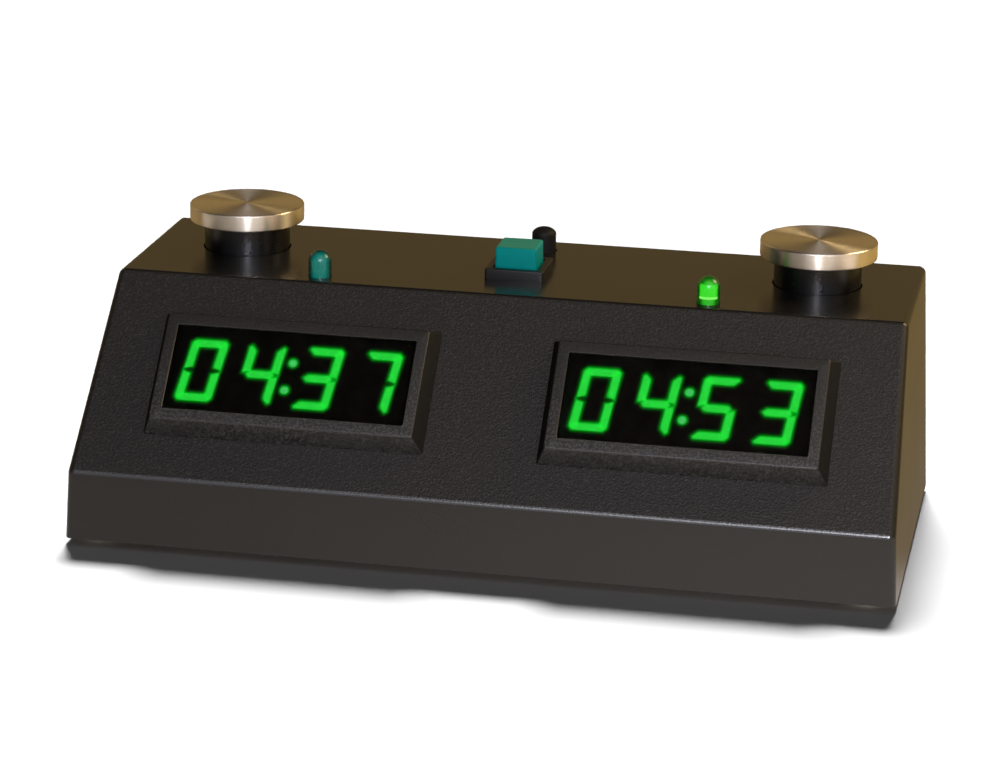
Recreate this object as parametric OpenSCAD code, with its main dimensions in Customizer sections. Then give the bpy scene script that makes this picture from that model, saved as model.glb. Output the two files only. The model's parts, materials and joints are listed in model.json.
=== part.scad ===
// Electronic chess clock: a wedge-shaped case with two displays and two player buttons.
// Origin: middle of the clock, at the bottom of the feet. +X to the right, +Y to the rear, +Z up.

/* [Case] */
// Width of the case at its foot
case_w = 177; // [174:1:182]
// Depth of the case at its foot
case_d = 81.5; // [80.5:0.5:84]
// Height of the case from its underside to its flat top
case_h = 51; // [50:0.5:53]
// Height of the upright strip below the sloping panel
strip_h = 15; // [14:0.5:16]
// Depth of the flat top
top_d = 47.5; // [46.5:0.5:48.5]
// Inward lean of the two sides, in degrees
side_draft = 3; // [2:0.5:4]
// Thickness of the case walls
wall = 2.5; // [2.3:0.1:2.7]
// Radius of the case's outer edges
edge_r = 1.6; // [1:0.1:1.8]
// Height that the feet stand out below the case
foot_h = 1.5; // [1:0.5:3]

/* [Displays] */
// Distance of each display from the middle of the clock
display_x = 42.45; // [41:0.05:44]
// Width of a bezel where it meets the panel
bezel_w = 60.7; // [58:0.1:63]
// Height of a bezel where it meets the panel
bezel_h = 28.7; // [27:0.1:30]
// Distance that a bezel stands out of the panel
bezel_t = 4.6; // [4:0.1:5.2]
// Width of the viewing window
window_w = 52.2; // [51.5:0.1:52.5]
// Height of the viewing window
window_h = 19.8; // [19.4:0.1:20.2]
// Height of a digit
digit_h = 14.2; // [13:0.1:15]
// Width of a digit
digit_w = 7.8; // [7:0.1:8.4]
// Distance from one digit to the next
digit_pitch = 12.7; // [12:0.1:12.7]
// Lean of the digits, in degrees
digit_slant = 7; // [0:1:9]

/* [Player buttons] */
// Distance of each player button from the middle of the clock
button_x = 63.9; // [62:0.1:65]
// Distance of the player buttons behind the middle of the clock
button_y = 18.35; // [17.5:0.05:19.5]
// Diameter of the metal cap
cap_d = 25.4; // [24:0.1:27]
// Thickness of the metal cap
cap_t = 3.7; // [2.5:0.1:4]
// Diameter of the plunger
plunger_d = 19; // [18:0.1:19.4]
// Gap between the case's top and the cap
cap_gap = 6.2; // [6:0.1:8]
// Travel of a player button
button_travel = 3; // [2:0.1:3]

/* [Small controls] */
// Side of the square base of the green button
reset_base_w = 12.9; // [12.5:0.1:14]
// Side of the green button's cap
reset_cap_w = 9.2; // [8.8:0.1:9.4]
// Diameter of the round power button
power_d = 5.4; // [5:0.1:6]
// Travel of the two small buttons
small_travel = 1.5; // [1:0.1:1.5]
// Diameter of a player lamp
lamp_d = 5; // [4.8:0.1:5]

/* [Hidden] */
$fn = 48;
edge_fn = 32;
gap = 0.3;
run_fit = 0.05;
eps = 0.01;

// Levels, from the table up
z_case = foot_h;
z_floor = z_case + 3;
z_top = z_case + case_h;
z_ceiling = z_top - wall;
z_guide_top = z_ceiling - run_fit;
z_cap_under = z_top + cap_gap;
z_board = 30;
board_t = 1.6;

// Side view of the case, counter-clockwise as (y, z)
front_lean = 0.3;
rear_lean = 0.8;
y_front = -case_d / 2;
y_rear = case_d / 2;
y_top_rear = y_rear - rear_lean;
y_top_front = y_top_rear - top_d;
PROFILE = [
    [y_front, z_case],
    [y_rear, z_case],
    [y_top_rear, z_top],
    [y_top_front, z_top],
    [y_front + front_lean, z_case + strip_h]
];

// The sloping panel
slope_foot = PROFILE[4];
slope_head = PROFILE[3];
slope_angle = atan2(slope_head[1] - slope_foot[1], slope_head[0] - slope_foot[0]);
slope_mid = (slope_foot + slope_head) / 2;

// Display stack, as heights above the panel's outer face
lens_t = 1;
lip_t = 0.5;
z_lens = bezel_t - lip_t - lens_t;
module_t = 8;
z_module = z_lens - 0.1;
z_module_back = z_module - module_t;
rebate = 0.65;
collar_w = 55;
collar_h = 23;
segment_t = 0.25;
stroke = 1.5;
digit_shift = -0.35;
colon_y = 3.2;
colon_d = 1.6;
display_board_w = 156;
display_board_h = 33;
PANEL_SCREWS = [for (x = [-74, 0, 74], y = [-13, 13]) [x, y]];

// Segments a to g: top, upper right, lower right, bottom, lower left, upper left, middle
LIT = [
    [1, 1, 1, 1, 1, 1, 0],
    [0, 1, 1, 0, 0, 0, 0],
    [1, 1, 0, 1, 1, 0, 1],
    [1, 1, 1, 1, 0, 0, 1],
    [0, 1, 1, 0, 0, 1, 1],
    [1, 0, 1, 1, 0, 1, 1],
    [1, 0, 1, 1, 1, 1, 1],
    [1, 1, 1, 0, 0, 0, 0],
    [1, 1, 1, 1, 1, 1, 1],
    [1, 1, 1, 1, 0, 1, 1]
];
LEFT_TIME = [0, 4, 3, 7];
RIGHT_TIME = [0, 4, 5, 3];

// Player button stack
plunger_r = plunger_d / 2;
guide_r = plunger_r + 2.2;
guide_flange_r = plunger_r + 3.4;
stem_r = 2.5;
stud_r = 3;
z_plunger_top = z_cap_under;
z_spring_seat = z_cap_under - 3;
z_guide_floor = z_ceiling - 10;
guide_floor_t = 1.5;
z_guide_seat = z_guide_floor + guide_floor_t;
z_skirt = z_guide_seat + button_travel + 0.5;
z_switch_top = z_board + 4.6;
z_stem = z_switch_top + gap + button_travel;
z_clip_top = z_guide_floor - gap;
clip_t = 0.8;

// Small buttons
reset_x = -0.55;
reset_y = 10.75;
z_reset_base = z_top + 2.2;
z_reset_top = z_top + 6.7;
z_reset_cap = z_top - 2;
reset_sleeve_w = reset_base_w - 1.2;
z_reset_floor = z_ceiling - 6;
power_x = 1.2;
power_y = 31.05;
z_power_top = z_top + 5.4;
power_flange_r = 3.9;
z_power_flange = z_ceiling - gap;
power_flange_t = 1.2;
z_power_floor = z_ceiling - 9;
small_stem_r = 1.5;
small_floor_t = 1.5;
small_clip_t = 0.6;
z_small_stem = z_switch_top + gap + small_travel;

// Lamps
lamp_r = lamp_d / 2;
lamp_flange_r = lamp_r + 0.4;
lamp_x = 42.45;
lamp_shift = 0.45;
lamp_y = -2.3;
z_lamp_tip = z_top + 5.75;
lamp_flange_t = 1;
z_lamp = z_ceiling - lamp_flange_t - 0.1;
lead_r = 0.25;
lead_pitch = 2.54;

// Boards and fasteners
button_board_w = 162;
button_board_y = [-6, 35.5];
BOARD_POSTS = [[-78, 8.5], [78, 8.5], [-78, 31], [78, 31], [-20, 21], [20, 21]];
cable_x = -67;
cable_w = 12.7;
cable_t = 0.9;
cable_panel_y = 2;
cable_board_y = 6;
socket_w = 16;
socket_h = 6;
post_r = 3;
screw_r = 1.2;
screw_head_r = 2.4;
base_screw_r = 1.5;
base_head_r = 2.8;
corner_x = 82.2;
corner_y = case_d / 2 - 6.4;
corner_boss_r = 4;
corner_boss_h = 9.5;
CORNERS = [for (x = [-corner_x, corner_x], y = [-corner_y, corner_y]) [x, y]];
FEET = [for (y = [-30, 30], x = [-70, 70]) [x, y]];

// Battery bay
bay_x = 57.5;
bay_y = [1, 35];
bay_wall = 1.5;
z_bay_top = 20.5;
cell_r = 7.1;
cell_l = 49.2;
nipple_l = 1.2;
z_cell = z_case + 2 + 0.6 + cell_r;
CELLS = [for (y = [10.2, 25.8], x = [-27.6, 27.6]) [x, y]];
hinge_y = bay_y[0] + 1.9;
hinge_z = z_case + 1.5;
hinge_r = 1;
door_t = 2;

// ---- Helpers ----

function unit(v) = v / norm(v);
function inward(a, b) = let (u = unit(b - a)) [-u[1], u[0]];

// Corner b of a counter-clockwise outline a, b, c, moved inwards by d
function inset_corner(a, b, c, d) =
    let (m = inward(a, b), n = inward(b, c)) b + d * (m + n) / (1 + m * n);

function half_width(z, d) = case_w / 2 - (z - z_case) * tan(side_draft) - d / cos(side_draft);

// Solid with the case's shape, inset by d and with edges of radius r
module case_form(d, r) {
    count = len(PROFILE);
    hull()
        for (i = [0 : count - 1], side = [-1, 1]) {
            corner = inset_corner(
                PROFILE[(i + count - 1) % count], PROFILE[i], PROFILE[(i + 1) % count], d + r);
            z = i < 2 ? z_case : corner[1];
            translate([side * half_width(z, d + r), corner[0], z])
                if (i < 2)
                    cylinder(h = eps, r = r, $fn = edge_fn);
                else
                    sphere(r = r, $fn = edge_fn);
        }
}

// Places children on the sloping panel: +Y up the slope, +Z out of it
module on_panel(x = 0, y = 0, z = 0) {
    translate([0, slope_mid[0], slope_mid[1]])
        rotate([slope_angle, 0, 0])
            translate([x, y, z])
                children();
}

// Box centred on X and Y, standing on z = 0
module block(size, z = 0) {
    translate([-size[0] / 2, -size[1] / 2, z])
        cube(size);
}

module tube(h, r_out, r_in, z = 0) {
    translate([0, 0, z])
        difference() {
            cylinder(h = h, r = r_out);
            translate([0, 0, -1])
                cylinder(h = h + 2, r = r_in);
        }
}

// Coil spring of round wire between two flat seats
module coil(h, r, wire_r, turns, steps = 20, sides = 8) {
    rings = turns * steps;
    climb = h - 2 * wire_r;
    points = [
        for (i = [0 : rings], k = [0 : sides - 1])
            let (a = 360 * i / steps, b = 360 * k / sides, rho = r + wire_r * cos(b))
                [rho * cos(a), rho * sin(a), wire_r * (1 + sin(b)) + climb * i / rings]
    ];
    walls = [
        for (i = [0 : rings - 1], k = [0 : sides - 1])
            let (n = (k + 1) % sides)
                [i * sides + k, i * sides + n, (i + 1) * sides + n, (i + 1) * sides + k]
    ];
    start = [[for (k = [sides - 1 : -1 : 0]) k]];
    end = [[for (k = [0 : sides - 1]) rings * sides + k]];
    polyhedron(points, concat(walls, start, end), convexity = 10);
}

// Small pan-head screw, head downwards, shank up from z = 0
module screw(r, shank, head_r, head_h) {
    cylinder(h = shank, r = r);
    difference() {
        translate([0, 0, -head_h])
            cylinder(h = head_h, r = head_r);
        for (a = [0, 90])
            rotate(a)
                block([head_r * 1.2, 0.6, 0.7], -head_h - eps);
    }
}

// ---- Case ----

module housing() {
    color("#2c2a28")
        difference() {
            union() {
                difference() {
                    case_form(0, edge_r);
                    translate([0, 0, -eps])
                        case_form(wall, 0.6);
                }
                for (p = CORNERS)
                    translate([p[0], p[1], z_floor])
                        cylinder(h = corner_boss_h, r = corner_boss_r);
                for (p = BOARD_POSTS)
                    translate([p[0], p[1], z_board])
                        cylinder(h = z_ceiling - z_board + 0.5, r = post_r);
                for (p = PANEL_SCREWS)
                    on_panel(p[0], p[1], z_module_back)
                        cylinder(h = -wall - z_module_back + 0.5, r = post_r);
            }
            for (p = CORNERS)
                translate([p[0], p[1], z_floor - 1])
                    cylinder(h = corner_boss_h, r = base_screw_r + run_fit);
            for (p = BOARD_POSTS)
                translate([p[0], p[1], z_board - 1])
                    cylinder(h = 9, r = screw_r + run_fit);
            for (p = PANEL_SCREWS)
                on_panel(p[0], p[1], z_module_back - 1)
                    cylinder(h = 4.6, r = screw_r + run_fit);
            for (side = [-1, 1]) {
                on_panel(side * display_x)
                    block([collar_w + 0.4, collar_h + 0.4, 3 * wall], -2 * wall);
                translate([side * button_x, button_y, z_ceiling - 1])
                    cylinder(h = wall + 2, r = plunger_r + gap);
                translate([side * lamp_x + lamp_shift, lamp_y, z_ceiling - 1])
                    cylinder(h = wall + 2, r = lamp_r + 0.1);
            }
            translate([reset_x, reset_y, 0])
                block([reset_sleeve_w + 0.2, reset_sleeve_w + 0.2, wall + 2], z_ceiling - 1);
            translate([power_x, power_y, z_ceiling - 1])
                cylinder(h = wall + 2, r = power_d / 2 + gap);
        }
}

module base_plate() {
    plate_clear = 0.25;
    plate_w = 2 * half_width(z_floor, wall) - 2 * plate_clear;
    plate_d = case_d - 2 * (wall + plate_clear) - 0.2;
    color("#242322")
        difference() {
            union() {
                block([plate_w, plate_d, z_floor - z_case], z_case);
                for (side = [-1, 1])
                    translate([side * (bay_x + 1.5), hinge_y - 1.9, z_case])
                        block([3, 6, 5.6]);
            }
            translate([-bay_x, bay_y[0], z_case - 1])
                cube([2 * bay_x, bay_y[1] - bay_y[0], 10]);
            for (p = CORNERS)
                translate([p[0], p[1], 0]) {
                    cylinder(h = 10, r = base_screw_r + 0.2);
                    cylinder(h = z_case + 1.8, r = base_head_r + 0.4);
                }
            for (p = FEET)
                translate([p[0], p[1], z_case - 1])
                    cylinder(h = 1.5, r = 5.1);
            translate([0, hinge_y, hinge_z])
                rotate([0, 90, 0])
                    cylinder(h = 2 * bay_x + 4, r = hinge_r + run_fit, center = true);
        }
}

module base_screws() {
    color("silver")
        for (p = CORNERS)
            translate([p[0], p[1], z_case + 1.8])
                screw(base_screw_r, 9, base_head_r, 1.5);
}

module foot(p) {
    foot_r = 5;
    color("#161616")
        translate([p[0], p[1], 0])
            rotate_extrude()
                polygon([
                    [0, 0], [foot_r - 1, 0], [foot_r - 0.4, 0.4],
                    [foot_r, z_case], [foot_r, z_case + 0.5], [0, z_case + 0.5]
                ]);
}

// ---- Displays ----

module bezel(side) {
    front_inset = 1.75;
    front_r = 0.4;
    color("#1f1d1b")
        on_panel(side * display_x)
            difference() {
                union() {
                    hull() {
                        block([bezel_w, bezel_h, eps]);
                        for (x = [-1, 1], y = [-1, 1])
                            translate([
                                x * (bezel_w / 2 - front_inset - front_r),
                                y * (bezel_h / 2 - front_inset - front_r),
                                bezel_t - front_r])
                                sphere(r = front_r, $fn = edge_fn);
                    }
                    block([collar_w, collar_h, wall + 1.2], -wall - 1.2);
                    for (x = [-18, 18], y = [-1, 1])
                        translate([x, y * (collar_h / 2 + 0.2), 0])
                            block([8, 0.8, 0.7], -wall - 1.1);
                }
                block([window_w, window_h, 20], -10);
                block([window_w + 2 * rebate, window_h + 2 * rebate, 10 + bezel_t - lip_t], -10);
            }
}

module lens(side) {
    lens_clear = 0.2;
    color("#2a332c", 0.4)
        on_panel(side * display_x)
            block([
                window_w + 2 * rebate - 2 * lens_clear,
                window_h + 2 * rebate - 2 * lens_clear,
                lens_t], z_lens);
}

// Outline points of segment k of a digit, before it leans
function segment_points(k) =
    let (w = digit_w / 2, h = digit_h / 2, t = stroke, c = 0.8, g = 0.14,
        bar = [
            [w - c, h], [w - c / 2 - g, h - c / 2], [w - t - g, h - t],
            [-w + t + g, h - t], [-w + c / 2 + g, h - c / 2], [-w + c, h]
        ],
        post = [
            [w, h - c], [w - c / 2, h - c / 2 - g], [w - t, h - t - g],
            [w - t, t / 2 + g], [w, 0.4]
        ],
        middle = [
            [w - t - g, t / 2], [w - t / 2 - g, 0], [w - t - g, -t / 2],
            [-w + t + g, -t / 2], [-w + t / 2 + g, 0], [-w + t + g, t / 2]
        ],
        mx = (k == 4 || k == 5) ? -1 : 1,
        my = (k == 2 || k == 3 || k == 4) ? -1 : 1,
        shape = (k == 0 || k == 3) ? bar : k == 6 ? middle : post)
    [for (p = shape) [p[0] * mx, p[1] * my]];

function lean(p) = [p[0] + p[1] * tan(digit_slant), p[1]];

// Segments of one time that are lit (wanted = 1) or dark (wanted = 0)
module segments_2d(time, wanted) {
    for (i = [0 : 3], k = [0 : 6])
        if (LIT[time[i]][k] == wanted)
            translate([(i - 1.5) * digit_pitch + digit_shift, 0])
                polygon([for (p = segment_points(k)) lean(p)]);
    if (wanted == 1)
        for (y = [-colon_y, colon_y])
            translate(lean([0, y]) + [digit_shift, 0])
                circle(d = colon_d);
}

module display(side, time) {
    module_w = 50.3;
    module_h = 19;
    pin_rows = [-7.62, 7.62];
    color("#101010")
        on_panel(side * display_x) {
            difference() {
                block([module_w, module_h, module_t], z_module_back);
                translate([0, 0, z_module - segment_t])
                    linear_extrude(1) {
                        segments_2d(time, 1);
                        segments_2d(time, 0);
                    }
            }
            for (i = [-5.5 : 5.5], y = pin_rows)
                translate([i * 2.54, y, z_module_back - board_t - 1])
                    cylinder(h = board_t + 1, r = lead_r, $fn = 16);
        }
}

module segments(side, time, wanted) {
    color(wanted == 1 ? "#2bff4a" : "#4a4238")
        on_panel(side * display_x, 0, z_module - segment_t)
            linear_extrude(segment_t)
                segments_2d(time, wanted);
}

// ---- Display board ----

module display_board() {
    color("#1d5a35")
        on_panel(0, 0, z_module_back - board_t)
            difference() {
                block([display_board_w, display_board_h, board_t]);
                for (p = PANEL_SCREWS)
                    translate([p[0], p[1], -1])
                        cylinder(h = 4, r = screw_r + 0.2);
                for (side = [-1, 1], i = [-5.5 : 5.5], y = [-7.62, 7.62])
                    translate([side * display_x + i * 2.54, y, -1])
                        cylinder(h = 4, r = lead_r + 0.1, $fn = 16);
            }
}

module display_board_screws() {
    color("silver")
        for (p = PANEL_SCREWS)
            on_panel(p[0], p[1], z_module_back - board_t)
                screw(screw_r, board_t + 3.4, screw_head_r, 1.4);
}

// Dual-in-line chip lying on the back of the display board
module chip(x, y, w, pins) {
    body_h = 7;
    chip_t = 3.4;
    z_back = z_module_back - board_t;
    on_panel(x, y, z_back) {
        difference() {
            block([w, body_h, chip_t], -chip_t - 0.5);
            translate([-w / 2, 0, -chip_t - 0.5 - eps])
                cylinder(h = 0.6, r = 1);
        }
        for (i = [0 : pins / 2 - 1], s = [-1, 1])
            translate([(i - (pins / 2 - 1) / 2) * 2.54, s * (body_h / 2 + 0.3), 0])
                block([0.5, 0.6, 2.2], -2.2);
    }
}

module microcontroller() {
    color("#1a1a1a")
        chip(0, 3.5, 23, 18);
}

module driver_chips() {
    color("#202020")
        for (side = [-1, 1])
            chip(side * 28, 0, 19, 14);
}

module crystal() {
    can_l = 6.6;
    can_r = 1.8;
    color("silver")
        on_panel(0, -6.5, z_module_back - board_t - can_r - 0.2) {
            hull()
                for (x = [-can_l / 2, can_l / 2])
                    translate([x, 0, -1.5])
                        cylinder(h = 3, r = can_r, $fn = edge_fn);
            for (x = [-1.5, 1.5])
                translate([x, 0, 1.5])
                    cylinder(h = can_r - 1.3, r = 0.3);
        }
}

module capacitors() {
    can_r = 2.5;
    color("#22304e")
        for (x = [-50, 50])
            on_panel(x, 2, z_module_back - board_t - 7.5)
                difference() {
                    cylinder(h = 7.5, r = can_r);
                    tube(0.5, can_r + 1, can_r - 0.15, 6.2);
                }
}

// Sockets at the two ends of the ribbon cable, one on each board
module cable_sockets() {
    color("#262626") {
        on_panel(cable_x, cable_panel_y, z_module_back - board_t)
            difference() {
                block([socket_w, 5, socket_h], -socket_h);
                block([cable_w, cable_t, 3], -socket_h - eps);
            }
        translate([cable_x, cable_board_y, z_board - board_t])
            difference() {
                block([socket_w, 5, socket_h], -socket_h);
                block([cable_w, cable_t, 3], -socket_h - eps);
            }
    }
}

// Flat cable that loops down from the display board and up to the button board
module ribbon_cable() {
    z_mouth = z_module_back - board_t - socket_h;
    a = on_panel_point(cable_panel_y, z_mouth + 3 - eps);
    b = on_panel_point(cable_panel_y, z_mouth - 1);
    d = [cable_board_y, z_board - board_t - socket_h + 3 - eps];
    c = d - [0, 4];
    reach = 9;
    curve = [for (t = [0 : 0.1 : 1]) bezier(b, b + reach * unit(b - a), c - [0, reach], c, t)];
    path = concat([a], curve, [d]);
    last = len(path) - 1;
    normals = [for (i = [0 : last]) -inward(path[max(i - 1, 0)], path[min(i + 1, last)])];
    outline = concat(
        [for (i = [0 : last]) path[i] + cable_t / 2 * normals[i]],
        [for (i = [last : -1 : 0]) path[i] - cable_t / 2 * normals[i]]);
    color("#8c8f94")
        translate([cable_x - cable_w / 2, 0, 0])
            rotate([90, 0, 90])
                linear_extrude(cable_w)
                    polygon(outline);
}

// Side-view point (y, z) that lies at (y, z) in the panel's own frame
function on_panel_point(y, z) =
    slope_mid + y * [cos(slope_angle), sin(slope_angle)] + z * [-sin(slope_angle), cos(slope_angle)];

function bezier(p, q, r, s, t) =
    pow(1 - t, 3) * p + 3 * t * pow(1 - t, 2) * q + 3 * t * t * (1 - t) * r + t * t * t * s;

// ---- Button board and what stands on it ----

module button_board() {
    depth = button_board_y[1] - button_board_y[0];
    color("#1d5a35")
        difference() {
            translate([0, (button_board_y[0] + button_board_y[1]) / 2, 0])
                block([button_board_w, depth, board_t], z_board - board_t);
            for (p = BOARD_POSTS)
                translate([p[0], p[1], z_board - 2])
                    cylinder(h = 4, r = screw_r + 0.2);
            for (side = [-1, 1], s = [-0.5, 0.5])
                translate([side * lamp_x + lamp_shift + s * lead_pitch, lamp_y, z_board - 2])
                    cylinder(h = 4, r = lead_r + 0.1, $fn = 16);
        }
}

module button_board_screws() {
    color("silver")
        for (p = BOARD_POSTS)
            translate([p[0], p[1], z_board - board_t])
                screw(screw_r, board_t + 7, screw_head_r, 1.4);
}

// Tactile switch with a round actuator
module tact_switch(x, y) {
    body_w = 6;
    body_t = 3.5;
    actuator_r = 1.75;
    color("#151515")
        translate([x, y, z_board]) {
            block([body_w, body_w, body_t]);
            cylinder(h = z_switch_top - z_board, r = actuator_r);
            for (s = [-1, 1], t = [-1, 1])
                translate([s * (body_w / 2 + 0.4), t * 2.25, 0])
                    block([0.8, 0.7, 1.2]);
        }
}

module lamp(side, tint) {
    r = lamp_r;
    color(tint, 0.85)
        translate([side * lamp_x + lamp_shift, lamp_y, z_lamp])
            rotate_extrude()
                polygon(concat(
                    [[0, 0], [lamp_flange_r, 0], [lamp_flange_r, lamp_flange_t], [r, lamp_flange_t]],
                    [for (a = [0 : 9 : 90]) [r * cos(a), z_lamp_tip - z_lamp - r + r * sin(a)]]));
}

module lamp_leads() {
    color("silver")
        for (side = [-1, 1], s = [-0.5, 0.5])
            translate([side * lamp_x + lamp_shift + s * lead_pitch, lamp_y, z_board - board_t - 1])
                cylinder(h = z_lamp - z_board + board_t + 1, r = lead_r, $fn = 16);
}

module lamp_spacers() {
    color("#1b1b1b")
        for (side = [-1, 1])
            translate([side * lamp_x + lamp_shift, lamp_y, 0])
                tube(z_lamp - z_board, lamp_flange_r, 1.9, z_board);
}

module sounder() {
    can_r = 6;
    can_h = 8.5;
    color("#141414")
        translate([-36, 27, z_board])
            difference() {
                cylinder(h = can_h, r = can_r);
                translate([0, 0, can_h - 2])
                    cylinder(h = 3, r = 1.2);
            }
}

// ---- Player buttons ----

module at_button(side, z = 0) {
    translate([side * button_x, button_y, z])
        children();
}

module cap(side) {
    r = cap_d / 2;
    chamfer = 0.25;
    color("#b9b3a4")
        at_button(side, z_cap_under)
            rotate_extrude($fn = 96)
                polygon([
                    [0, -3], [stud_r, -3], [stud_r, 0], [r - chamfer, 0],
                    [r, chamfer], [r, cap_t - chamfer], [r - chamfer, cap_t], [0, cap_t]
                ]);
}

module plunger(side) {
    cavity_r = plunger_r - 2.5;
    color("#0e0e0f")
        at_button(side) {
            difference() {
                translate([0, 0, z_skirt])
                    cylinder(h = z_plunger_top - z_skirt, r = plunger_r, $fn = 96);
                translate([0, 0, z_skirt - 1])
                    cylinder(h = z_spring_seat - z_skirt + 1, r = cavity_r);
                translate([0, 0, z_spring_seat - 1])
                    cylinder(h = 6, r = stud_r);
            }
            difference() {
                translate([0, 0, z_stem])
                    cylinder(h = z_spring_seat - z_stem, r = stem_r);
                tube(clip_t, stem_r + 1, stem_r - 0.7, z_clip_top - clip_t);
            }
            difference() {
                translate([0, 0, z_spring_seat - 1])
                    cylinder(h = 1, r = stud_r + 1);
                translate([0, 0, z_spring_seat - 2])
                    cylinder(h = 3, r = stem_r - 0.5);
            }
        }
}

module guide(side) {
    color("#191919")
        at_button(side)
            difference() {
                union() {
                    translate([0, 0, z_guide_floor])
                        cylinder(h = z_guide_top - z_guide_floor, r = guide_r);
                    translate([0, 0, z_guide_top - 1.5])
                        cylinder(h = 1.5, r = guide_flange_r);
                }
                translate([0, 0, z_guide_seat])
                    cylinder(h = 20, r = plunger_r + run_fit, $fn = 96);
                translate([0, 0, z_guide_floor - 1])
                    cylinder(h = 4, r = stem_r + run_fit);
            }
}

module player_spring(side) {
    color("silver")
        at_button(side, z_guide_seat)
            coil(z_spring_seat - 1 - z_guide_seat, 5.2, 0.4, 6);
}

// Split ring
module clip(r_in, r_out, t) {
    color("silver")
        difference() {
            cylinder(h = t, r = r_out);
            translate([0, 0, -1])
                cylinder(h = t + 2, r = r_in);
            translate([0, -r_out, 0])
                block([1.5 * r_in, 2 * r_out, t + 2], -1);
        }
}

// Split ring in the groove of a plunger's stem
module plunger_clip(side) {
    at_button(side, z_clip_top - clip_t)
        clip(stem_r - 0.7, 4.5, clip_t);
}

// ---- Small controls ----

module reset_base() {
    hole_w = reset_cap_w + 2 * gap;
    corner_r = 0.5;
    color("#1b1a1a")
        translate([reset_x, reset_y, 0])
            difference() {
                union() {
                    hull()
                        for (x = [-1, 1], y = [-1, 1])
                            translate([
                                x * (reset_base_w / 2 - corner_r),
                                y * (reset_base_w / 2 - corner_r), z_top])
                                cylinder(h = z_reset_base - z_top, r = corner_r, $fn = edge_fn);
                    block([reset_sleeve_w, reset_sleeve_w, z_top - z_reset_floor + 0.5], z_reset_floor);
                }
                block([hole_w, hole_w, 20], z_reset_floor + small_floor_t);
                translate([0, 0, z_reset_floor - 1])
                    cylinder(h = 4, r = small_stem_r + run_fit);
            }
}

module reset_cap() {
    edge = 0.5;
    color("#12a893")
        translate([reset_x, reset_y, 0]) {
            hull() {
                block([reset_cap_w, reset_cap_w, eps], z_reset_cap);
                for (x = [-1, 1], y = [-1, 1])
                    translate([
                        x * (reset_cap_w / 2 - edge - 0.1),
                        y * (reset_cap_w / 2 - edge - 0.1), z_reset_top - edge])
                        sphere(r = edge, $fn = edge_fn);
            }
            difference() {
                translate([0, 0, z_small_stem])
                    cylinder(h = z_reset_cap - z_small_stem + 0.5, r = small_stem_r);
                tube(small_clip_t, small_stem_r + 1, small_stem_r - 0.5, z_reset_floor - gap - small_clip_t);
            }
        }
}

module reset_clip() {
    translate([reset_x, reset_y, z_reset_floor - gap - small_clip_t])
        clip(small_stem_r - 0.5, 3, small_clip_t);
}

module reset_spring() {
    z_seat = z_reset_floor + small_floor_t;
    color("silver")
        translate([reset_x, reset_y, z_seat])
            coil(z_reset_cap - z_seat, 2.6, 0.2, 4, 16, 6);
}

module power_button() {
    r = power_d / 2;
    dome = 1.6;
    z_shoulder = z_power_top - dome;
    color("#0d0d0d")
        translate([power_x, power_y, 0])
            rotate_extrude()
                polygon(concat(
                    [
                        [0, z_small_stem], [small_stem_r, z_small_stem],
                        [small_stem_r, z_power_flange - power_flange_t],
                        [power_flange_r, z_power_flange - power_flange_t],
                        [power_flange_r, z_power_flange], [r, z_power_flange]
                    ],
                    [for (a = [0 : 10 : 90]) [r * cos(a), z_shoulder + dome * sin(a)]]));
}

module power_guide() {
    color("#191919")
        translate([power_x, power_y, 0])
            difference() {
                translate([0, 0, z_power_floor])
                    cylinder(h = z_guide_top - z_power_floor, r = power_flange_r + 1.4);
                translate([0, 0, z_power_floor + small_floor_t])
                    cylinder(h = 20, r = power_flange_r + run_fit);
                translate([0, 0, z_power_floor - 1])
                    cylinder(h = 4, r = small_stem_r + run_fit);
            }
}

module power_spring() {
    z_seat = z_power_floor + small_floor_t;
    color("silver")
        translate([power_x, power_y, z_seat])
            coil(z_power_flange - power_flange_t - z_seat, 2.6, 0.2, 5, 16, 6);
}

// ---- Battery bay ----

module battery_box() {
    depth = bay_y[1] - bay_y[0];
    mid_y = (bay_y[0] + bay_y[1]) / 2;
    color("#1c1b1a")
        translate([0, mid_y, 0])
            difference() {
                block([2 * (bay_x + bay_wall) , depth + 2 * bay_wall, z_bay_top - z_floor], z_floor);
                block([2 * bay_x, depth, z_bay_top - bay_wall - z_floor + 1], z_floor - 1);
                for (side = [-1, 1])
                    translate([side * (bay_x + 1.5), hinge_y - 1.9 - mid_y, 0])
                        block([4, 7, 3.2], z_floor - 0.2);
            }
}

module cells() {
    color("#3f6f4a")
        for (p = CELLS)
            translate([p[0], p[1], z_cell])
                rotate([0, 90, 0]) {
                    cylinder(h = cell_l, r = cell_r, center = true);
                    translate([0, 0, cell_l / 2 - eps])
                        cylinder(h = nipple_l, r = 2.7);
                }
}

module battery_contacts() {
    plate_t = 0.5;
    color("silver")
        for (side = [-1, 1], p = [CELLS[0], CELLS[2]])
            translate([side * (bay_x - plate_t / 2), p[1], z_cell - 5])
                block([plate_t, 11, 10]);
}

module battery_door() {
    side_clear = 0.35;
    door_w = 2 * (bay_x - side_clear);
    y_end = bay_y[1] - 0.4;
    color("#242322")
        difference() {
            union() {
                translate([0, (hinge_y + y_end) / 2, 0])
                    block([door_w, y_end - hinge_y, door_t], z_case);
                translate([0, hinge_y, hinge_z])
                    rotate([0, 90, 0]) {
                        cylinder(h = door_w, r = 1.4, center = true);
                        cylinder(h = 2 * bay_x + 3.4, r = hinge_r, center = true);
                    }
                translate([0, y_end - 1.2, z_case])
                    block([12, 2.4, 4]);
            }
            for (i = [0 : 3])
                translate([0, y_end - 5 - 1.6 * i, z_case])
                    block([14, 0.8, 0.8], -0.4);
        }
}

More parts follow.
